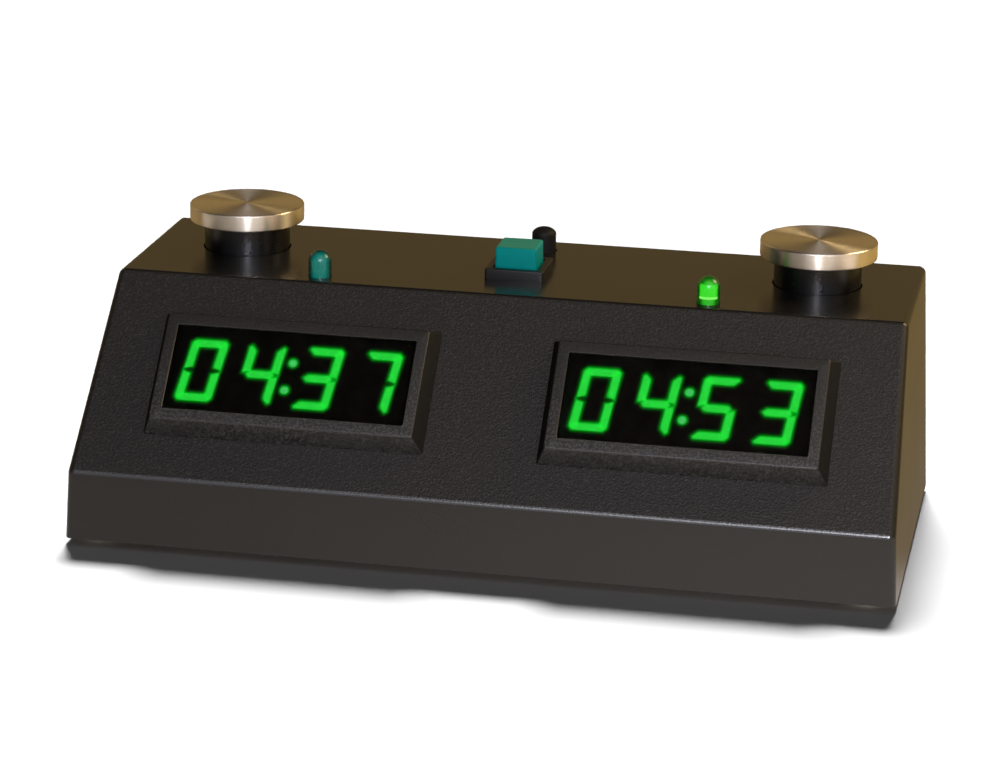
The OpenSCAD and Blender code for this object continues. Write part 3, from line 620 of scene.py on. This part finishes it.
def make_looks():
    """The material of each slot of the record."""
    looks = {
        "case_plastic": case_look(),
        "base_plastic": moulded("base_plastic_look", (0.016, 0.0155, 0.015), 0.5, 0.35 * MM, 0.02 * MM),
        "bezel_plastic": bezel_look(),
        "button_plastic": gloss_black_look("button_plastic_look", 0.28, (0.0013, 0.0013, 0.0016)),
        "frame_plastic": gloss_black_look("frame_plastic_look", 0.36, (0.0045, 0.0043, 0.005)),
        "turned_metal": turned_metal_look(),
        "green_plastic": push_cap_look(),
        "foot_rubber": moulded("foot_rubber_look", (0.014, 0.014, 0.014), 0.8, 0.4 * MM, 0.03 * MM),
        "window": lens_look(),
        "display_body": display_look(),
        "lit_segment": lit_segment_look(),
        "dark_segment": dark_segment_look(),
        "lamp_off": lamp_off_look(),
        "lamp_on": lamp_on_look(),
        "board": board_look(),
        "component_black": moulded("component_black_look", (0.012, 0.012, 0.012), 0.5, 0.3 * MM, 0.02 * MM),
        "sleeve_blue": moulded("sleeve_blue_look", (0.01, 0.03, 0.10), 0.3, 0.8 * MM, 0.004 * MM),
        "bright_metal": metal_look("bright_metal_look", (0.72, 0.72, 0.70), 0.25),
        "screw_steel": metal_look("screw_steel_look", (0.56, 0.56, 0.53), 0.35, 0.3),
        "spring_steel": metal_look("spring_steel_look", (0.5, 0.5, 0.5), 0.3, 0.4),
        "cable_grey": moulded("cable_grey_look", (0.3, 0.31, 0.33), 0.45, 0.6 * MM, 0.01 * MM),
        "lead_red": moulded("lead_red_look", (0.35, 0.012, 0.01), 0.4, 0.6 * MM, 0.005 * MM),
        "cell_wrap": cell_look(),
    }
    return {slot: look.material for slot, look in looks.items()}


# ---------------------------------------------------------------- mesh helpers

def mesh_object(name, build, body, node, slot, at, smooth_angle=35, material=None):
    """Builds a mesh piece with build(bm), smooths it, lets it ride on a body and replaces a CAD node."""
    bm = bmesh.new()
    build(bm)
    bmesh.ops.remove_doubles(bm, verts=bm.verts, dist=1e-7)
    bmesh.ops.recalc_face_normals(bm, faces=bm.faces)
    mesh = bpy.data.meshes.new(name)
    bm.to_mesh(mesh)
    bm.free()
    mesh.shade_smooth()
    mesh.set_sharp_from_angle(angle=math.radians(smooth_angle))
    mesh.materials.append(material or LOOKS[slot])
    piece = bpy.data.objects.new(name, mesh)
    bpy.context.scene.collection.objects.link(piece)
    piece.matrix_world = at
    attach(piece, body)
    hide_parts(node)
    return piece


def lathe(profile, segments=160):
    """Turns a closed (r, z) outline round Z. A point on the axis becomes one vertex."""
    def build(bm):
        rings = []
        for r, z in profile:
            if r < 1e-9:
                rings.append([bm.verts.new((0, 0, z))])
            else:
                angles = [2 * math.pi * i / segments for i in range(segments)]
                rings.append([bm.verts.new((r * math.cos(a), r * math.sin(a), z)) for a in angles])
        for low, high in zip(rings, rings[1:] + rings[:1]):
            join_rings(bm, low, high, segments)
    return build


def join_rings(bm, low, high, count):
    if len(low) == 1 and len(high) == 1:
        return
    for i in range(count):
        j = (i + 1) % count
        if len(low) == 1:
            bm.faces.new((low[0], high[i], high[j]))
        elif len(high) == 1:
            bm.faces.new((low[i], low[j], high[0]))
        else:
            bm.faces.new((low[i], low[j], high[j], high[i]))


def arc(cx, cz, radius, start, end, steps=6):
    """Points of an arc in an (r, z) outline, in degrees."""
    angles = [math.radians(start + (end - start) * i / steps) for i in range(steps + 1)]
    return [(cx + radius * math.cos(a), cz + radius * math.sin(a)) for a in angles]


def rounded_ring(half_x, half_y, radius, corner_steps=6):
    """Points round a rectangle with rounded corners."""
    points = []
    for sx, sy, start in ((1, 1, 0), (-1, 1, 90), (-1, -1, 180), (1, -1, 270)):
        cx, cy = sx * (half_x - radius), sy * (half_y - radius)
        for i in range(corner_steps + 1):
            a = math.radians(start + 90 * i / corner_steps)
            points.append((cx + radius * math.cos(a), cy + radius * math.sin(a)))
    return points


def stacked(sections, closed=False):
    """Walls through rounded rectangles (half_x, half_y, corner radius, z), one above the other.
    closed joins the last to the first, which makes a frame with a hole; otherwise both ends are capped."""
    def build(bm):
        rings = []
        for half_x, half_y, radius, z in sections:
            rings.append([bm.verts.new((x, y, z)) for x, y in rounded_ring(half_x, half_y, radius)])
        pairs = list(zip(rings, rings[1:]))
        if closed:
            pairs.append((rings[-1], rings[0]))
        for low, high in pairs:
            join_rings(bm, low, high, len(low))
        if not closed:
            bm.faces.new(list(reversed(rings[0])))
            bm.faces.new(rings[-1])
    return build


def fillet(half_x, half_y, corner, z, radius, steps=4):
    """Sections that round the outer edge where walls meet a face at height z above them."""
    made = []
    for i in range(steps + 1):
        a = math.radians(90 * i / steps)
        inset = radius * (1 - math.cos(a))
        height = z - radius + radius * math.sin(a)
        made.append((half_x - inset, half_y - inset, max(corner - inset, 0.02 * MM), height))
    return made


# ---------------------------------------------------------------- pieces

def make_caps():
    """Turned discs with a stud below, rounded rims and a slight dip at the middle."""
    for side in ("left", "right"):
        node = f"{side}_cap"
        low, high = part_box(node)
        radius = (high.x - low.x) / 2
        stud, stud_l, edge = 3 * MM, 3 * MM, 0.35 * MM
        under, top = low.z + stud_l, high.z
        profile = [(0, low.z), (stud - 0.2 * MM, low.z), (stud, low.z + 0.2 * MM), (stud, under)]
        profile += arc(radius - edge, under + edge, edge, -90, 0)
        profile += arc(radius - edge, top - edge, edge, 0, 90)
        profile += [(radius - 0.6 * MM, top), (0.5 * MM, top - 0.02 * MM), (0, top - 0.06 * MM)]
        mesh_object(f"{side}_turned_cap", lathe(profile, 240), f"{side}_button", node, "turned_metal",
                    Matrix.Translation(axis_at(node)), 40)


def make_plungers():
    """Hollow cylinders under the discs, each with a grooved stem for its clip."""
    for side in ("left", "right"):
        node = f"{side}_plunger"
        low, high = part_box(node)
        radius = (high.x - low.x) / 2
        stem, groove, cavity, stud = 2.5 * MM, 1.8 * MM, radius - 2.5 * MM, 3 * MM
        skirt = level(f"{side}_guide", 0) + 5 * MM
        ceiling = high.z - 3 * MM
        clip_low, clip_high = level(f"{side}_clip", 0), level(f"{side}_clip", 1)
        edge = 0.3 * MM
        profile = [(0, low.z), (stem - edge, low.z), (stem, low.z + edge)]
        profile += [(stem, clip_low), (groove, clip_low), (groove, clip_high), (stem, clip_high)]
        profile += [(stem, ceiling - 1 * MM), (stud + 1 * MM, ceiling - 1 * MM), (stud + 1 * MM, ceiling)]
        profile += [(cavity, ceiling), (cavity, skirt)]
        profile += arc(radius - edge, skirt + edge, edge, -90, 0)
        profile += arc(radius - edge, high.z - edge, edge, 0, 90)
        profile += [(stud, high.z), (stud, ceiling), (0, ceiling)]
        mesh_object(f"{side}_plunger_body", lathe(profile, 192), f"{side}_button", node, "button_plastic",
                    Matrix.Translation(axis_at(node)), 40)


def make_bezels():
    """Frames with bevelled sides, a narrow front land, a lip over the window and a collar behind."""
    for side in ("left", "right"):
        node = f"{side}_bezel"
        at = on_panel(f"{side}_lens", BEZEL_T - LENS_T)
        half_w, half_h = 30.35 * MM, 14.35 * MM
        front_w, front_h = 28.6 * MM, 12.6 * MM
        hole_w, hole_h = 26.1 * MM, 9.9 * MM
        rebate = 0.65 * MM
        collar_w, collar_h = 27.5 * MM, 11.5 * MM
        back, lip, edge = -3.7 * MM, 0.5 * MM, 0.35 * MM
        sharp = 0.12 * MM
        sections = [(half_w, half_h, 0.5 * MM, 0), (half_w, half_h, 0.5 * MM, 0.12 * MM)]
        sections += fillet(front_w, front_h, 0.7 * MM, BEZEL_T, edge)
        sections += [(hole_w + sharp, hole_h + sharp, 0.5 * MM, BEZEL_T)]
        sections += [(hole_w, hole_h, 0.4 * MM, BEZEL_T - sharp)]
        sections += [(hole_w, hole_h, 0.4 * MM, BEZEL_T - lip)]
        sections += [(hole_w + rebate, hole_h + rebate, 0.3 * MM, BEZEL_T - lip)]
        sections += [(hole_w + rebate, hole_h + rebate, 0.3 * MM, back)]
        sections += [(collar_w - sharp, collar_h - sharp, 0.5 * MM, back)]
        sections += [(collar_w, collar_h, 0.5 * MM, back + sharp)]
        sections += [(collar_w, collar_h, 0.5 * MM, 0)]
        mesh_object(f"{side}_bezel_frame", stacked(sections, closed=True), "case", node, "bezel_plastic",
                    at, 30)


def make_lenses():
    """Clear windows with a small chamfer round both faces."""
    for side in ("left", "right"):
        node = f"{side}_lens"
        at = on_panel(node, 0)
        half_w, half_h, half_t = 26.55 * MM, 10.35 * MM, LENS_T / 2
        edge, corner = 0.08 * MM, 0.3 * MM
        sections = [(half_w - edge, half_h - edge, corner, -half_t), (half_w, half_h, corner, edge - half_t)]
        sections += [(half_w, half_h, corner, half_t - edge), (half_w - edge, half_h - edge, corner, half_t)]
        mesh_object(f"{side}_window", stacked(sections), "case", node, "window", at)


def outlines(node):
    """Outlines of a node's faces that point out of the panel, as lists of (x, y) in the panel's
    frame, and the height of those faces."""
    bm = bmesh.new()
    bm.from_mesh(NODES[node].data)
    bm.transform(PANEL_TURN.inverted())
    bmesh.ops.remove_doubles(bm, verts=bm.verts, dist=2e-6)
    height = max(v.co.z for v in bm.verts)
    front = [f for f in bm.faces if f.normal.z > 0.9 and abs(f.calc_center_median().z - height) < 1e-5]
    facing = set(front)
    follow = {}
    for face in front:
        for loop in face.loops:
            other = [f for f in loop.edge.link_faces if f is not face]
            if not other or other[0] not in facing:
                follow[loop.vert] = loop.link_loop_next.vert
    found = []
    while follow:
        vert, after = follow.popitem()
        points = [vert.co.xy.copy()]
        while after in follow:
            points.append(after.co.xy.copy())
            after = follow.pop(after)
        found.append(points)
    bm.free()
    return found, height


def grown(points, distance):
    """A convex counter-clockwise outline moved outwards."""
    moved = []
    for before, here, after in zip(points[-1:] + points[:-1], points, points[1:] + points[:1]):
        a, b = (here - before).normalized(), (after - here).normalized()
        out = Vector((a.y + b.y, -a.x - b.x))
        out = out.normalized() * min(distance / max(out.length / 2, 0.5), distance * 1.35)
        moved.append(here + out)
    return moved


GLOW_RINGS = ((0, 1.0), (0.16 * MM, 0.62), (0.36 * MM, 0.28), (0.6 * MM, 0.09), (0.9 * MM, 0.0))


def glow_around(bm, points, z):
    """Widening rings of faces round one lit outline. Returns how bright each new vertex is."""
    strengths = []
    rings = []
    for distance, strength in GLOW_RINGS:
        rings.append([bm.verts.new((x, y, z)) for x, y in grown(points, distance)])
        strengths += [strength] * len(points)
    for inner, outer in zip(rings, rings[1:]):
        join_rings(bm, inner, outer, len(points))
    return strengths


def make_glow():
    """Light that bleeds from the lit segments into the display's face."""
    gap, layer_step = 0.02 * MM, 0.002 * MM
    film = glow_film_look().material
    for side in ("left", "right"):
        loops, height = outlines(f"{side}_lit_segments")
        bm = bmesh.new()
        strengths = []
        for k, points in enumerate(loops):
            strengths += glow_around(bm, points, height + gap + layer_step * k)
        mesh = bpy.data.meshes.new(f"{side}_glow_film")
        bm.to_mesh(mesh)
        bm.free()
        layer = mesh.attributes.new("glow", "FLOAT", "POINT")
        layer.data.foreach_set("value", strengths)
        mesh.materials.append(film)
        piece = bpy.data.objects.new(f"{side}_glow_film", mesh)
        bpy.context.scene.collection.objects.link(piece)
        piece.matrix_world = PANEL_TURN
        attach(piece, "case")


def make_lamps():
    """Domed lamps on a flange."""
    for side, slot in (("left", "lamp_off"), ("right", "lamp_on")):
        node = f"{side}_lamp"
        low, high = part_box(node)
        flange, flange_t, edge = (high.x - low.x) / 2, 1 * MM, 0.1 * MM
        radius, dome = flange - 0.4 * MM, 2.5 * MM
        top = low.z + flange_t
        profile = [(0, low.z), (flange - edge, low.z), (flange, low.z + edge), (flange, top - edge)]
        profile += [(flange - edge, top), (radius, top + edge / 2)]
        profile += arc(0, high.z - dome, radius, 0, 90, 16)[:-1] + [(0, high.z)]
        mesh_object(f"{side}_lamp_dome", lathe(profile, 64), "case", node, slot,
                    Matrix.Translation(axis_at(node)), 40)


def make_reset_frame():
    """Square frame with a sleeve below the case's top and a bore for the stem."""
    low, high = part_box("reset_base")
    half = (high.x - low.x) / 2
    hole, bore, edge, lip = 4.9 * MM, 1.55 * MM, 0.25 * MM, 0.15 * MM
    sleeve = half - 0.6 * MM
    floor_z = low.z + 1.5 * MM
    sections = [(sleeve, sleeve, 0.3 * MM, low.z), (sleeve, sleeve, 0.3 * MM, TOP)]
    sections += [(half, half, 0.5 * MM, TOP), (half, half, 0.5 * MM, TOP + 0.1 * MM)]
    sections += fillet(half, half, 0.6 * MM, high.z, edge)
    sections += [(hole + lip, hole + lip, 0.3 * MM, high.z), (hole, hole, 0.2 * MM, high.z - lip)]
    sections += [(hole, hole, 0.2 * MM, floor_z), (bore, bore, bore, floor_z), (bore, bore, bore, low.z)]
    mesh_object("reset_frame", stacked(sections, closed=True), "case", "reset_base", "frame_plastic",
                Matrix.Translation(axis_at("reset_base")), 30)


def make_reset_cap():
    """Square cap with soft edges, on a round stem with a groove for its clip."""
    low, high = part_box("reset_cap")
    half = (high.x - low.x) / 2
    cap_low, stem, tip, edge = TOP - 2 * MM, 1.5 * MM, 0.2 * MM, 0.55 * MM
    clip_low, clip_high = level("reset_clip", 0), level("reset_clip", 1)
    groove = stem - 0.5 * MM
    stem_rings = ((stem - tip, low.z), (stem, low.z + tip), (stem, clip_low), (groove, clip_low),
                  (groove, clip_high), (stem, clip_high), (stem, cap_low))
    sections = [(radius, radius, radius, z) for radius, z in stem_rings]
    sections += [(half, half, 0.4 * MM, cap_low)]
    sections += fillet(half - 0.08 * MM, half - 0.08 * MM, 0.7 * MM, high.z, edge, 6)
    sections += [(half - 1.6 * MM, half - 1.6 * MM, 0.4 * MM, high.z - 0.06 * MM)]
    mesh_object("reset_push_cap", stacked(sections), "reset_button", "reset_cap", "green_plastic",
                Matrix.Translation(axis_at("reset_base")), 40)


def make_power_button():
    """Round button with a low dome, a flange under the case's top and a stem."""
    low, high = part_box("power_button")
    flange, radius, stem, tip = 3.9 * MM, 2.7 * MM, 1.5 * MM, 0.2 * MM
    flange_high, flange_low = TOP - 2.8 * MM, TOP - 4 * MM
    dome = 1.6 * MM
    profile = [(0, low.z), (stem - tip, low.z), (stem, low.z + tip), (stem, flange_low)]
    profile += [(flange, flange_low), (flange, flange_high), (radius, flange_high)]
    for i in range(15):
        a = math.radians(6 * i)
        profile.append((radius * math.cos(a), high.z - dome + dome * math.sin(a)))
    profile.append((0, high.z))
    dull = moulded("power_button_look", (0.004, 0.0038, 0.0036), 0.6, 0.4 * MM, 0.02 * MM)
    dull.set("Specular IOR Level", 0.25)
    mesh_object("power_push_button", lathe(profile, 96), "power_button", "power_button", "button_plastic",
                Matrix.Translation(axis_at("power_button")), 40, dull.material)


def make_feet():
    """Rubber feet with a shallow dip in the sole."""
    for name in ("front_left", "front_right", "rear_left", "rear_right"):
        node = f"{name}_foot"
        low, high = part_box(node)
        radius = (high.x - low.x) / 2
        profile = [(0, 0.15 * MM), (radius - 2.2 * MM, 0.12 * MM), (radius - 1.8 * MM, 0)]
        profile += arc(radius - 1.0 * MM, 0.6 * MM, 0.6 * MM, -90, -15)
        profile += [(radius, 1.5 * MM), (radius, high.z), (0, high.z)]
        mesh_object(f"{name}_rubber_foot", lathe(profile, 96), "case", node, "foot_rubber",
                    Matrix.Translation(axis_at(node)))


def coil(height, radius, wire, turns, around=40, sides=12):
    """Closed mesh of a coil spring that stands on z = 0, with closed end turns."""
    end_turns = 0.9

    def wire_height(share):
        """Height of the wire's middle at a share of its whole length."""
        dead = end_turns / turns
        base = wire * (1 + 2 * min(share, dead) / dead * 0.9)
        top = height - 2 * wire - (base - wire)
        if share < 1 - dead:
            lift = min(max((share - dead) / (1 - 2 * dead), 0), 1)
            return base + lift * (top - base + wire)
        return top + wire + (share - 1 + dead) / dead * 1.8 * wire * 0.55

    def build(bm):
        steps = int(turns * around)
        rings = []
        for i in range(steps + 1):
            a = 2 * math.pi * i / around
            z = wire_height(i / steps)
            ring = []
            for k in range(sides):
                b = 2 * math.pi * k / sides
                rho = radius + wire * math.cos(b)
                level_z = min(max(z + wire * math.sin(b), 0), height)
                ring.append(bm.verts.new((rho * math.cos(a), rho * math.sin(a), level_z)))
            rings.append(ring)
        for low, high in zip(rings, rings[1:]):
            join_rings(bm, low, high, sides)
        bm.faces.new(list(reversed(rings[0])))
        bm.faces.new(rings[-1])
    return build


def make_springs():
    """Return springs, each a coil that fills its CAD spring's box."""
    for node, joint, wire, turns, travel in (
            ("left_spring", "left_button_press", 0.4 * MM, 6.5, 3 * MM),
            ("right_spring", "right_button_press", 0.4 * MM, 6.5, 3 * MM),
            ("reset_spring", "reset_press", 0.2 * MM, 5.5, 1.5 * MM),
            ("power_spring", "power_press", 0.2 * MM, 6.5, 1.5 * MM)):
        low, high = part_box(node)
        height, radius = high.z - low.z, (high.x - low.x) / 2 - wire
        foot = Vector((middle(node).x, middle(node).y, low.z))
        piece = mesh_object(f"{node}_coil", coil(height, radius, wire, turns), "case", node, "spring_steel",
                            Matrix.Translation(foot), 60)
        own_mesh(piece)


# ---------------------------------------------------------------- CAD nodes that stay

EDGE_WIDTHS = {
    "base_plate": 0.2 * MM, "battery_door": 0.2 * MM, "battery_box": 0.2 * MM, "base_screws": 0.08 * MM,
    "button_board": 0.1 * MM, "sounder": 0.3 * MM, "left_guide": 0.2 * MM, "right_guide": 0.2 * MM,
    "power_guide": 0.2 * MM,
}


def soften_edges(piece, width):
    """Bevels a CAD node's sharp edges, after welding its triangles back into flat faces."""
    weld = piece.modifiers.new("weld", "WELD")
    weld.merge_threshold = 1e-6
    planar = piece.modifiers.new("planar", "DECIMATE")
    planar.decimate_type = "DISSOLVE"
    planar.angle_limit = math.radians(0.5)
    bevel = piece.modifiers.new("bevel", "BEVEL")
    bevel.width = width
    bevel.segments = 2
    bevel.limit_method = "ANGLE"
    bevel.angle_limit = math.radians(40)
    bevel.use_clamp_overlap = True


def finish_cad_nodes():
    """Gives each CAD node the look of its slot, and softens the edges of some."""
    slots = {part["node"]: part["material_slot"] for part in frame["record"]["subparts"]}
    for name, piece in NODES.items():
        piece.data.materials.clear()
        piece.data.materials.append(LOOKS[slots[name]])
        if name in EDGE_WIDTHS:
            soften_edges(piece, EDGE_WIDTHS[name])


make_camera()
make_lights(make_floor())
make_world()
LOOKS = make_looks()
make_caps()
make_plungers()
make_bezels()
make_lenses()
make_glow()
make_lamps()
make_reset_frame()
make_reset_cap()
make_power_button()
make_feet()
make_springs()
finish_cad_nodes()

scene = bpy.context.scene
scene.view_settings.view_transform = "Standard"
scene.view_settings.look = "None"
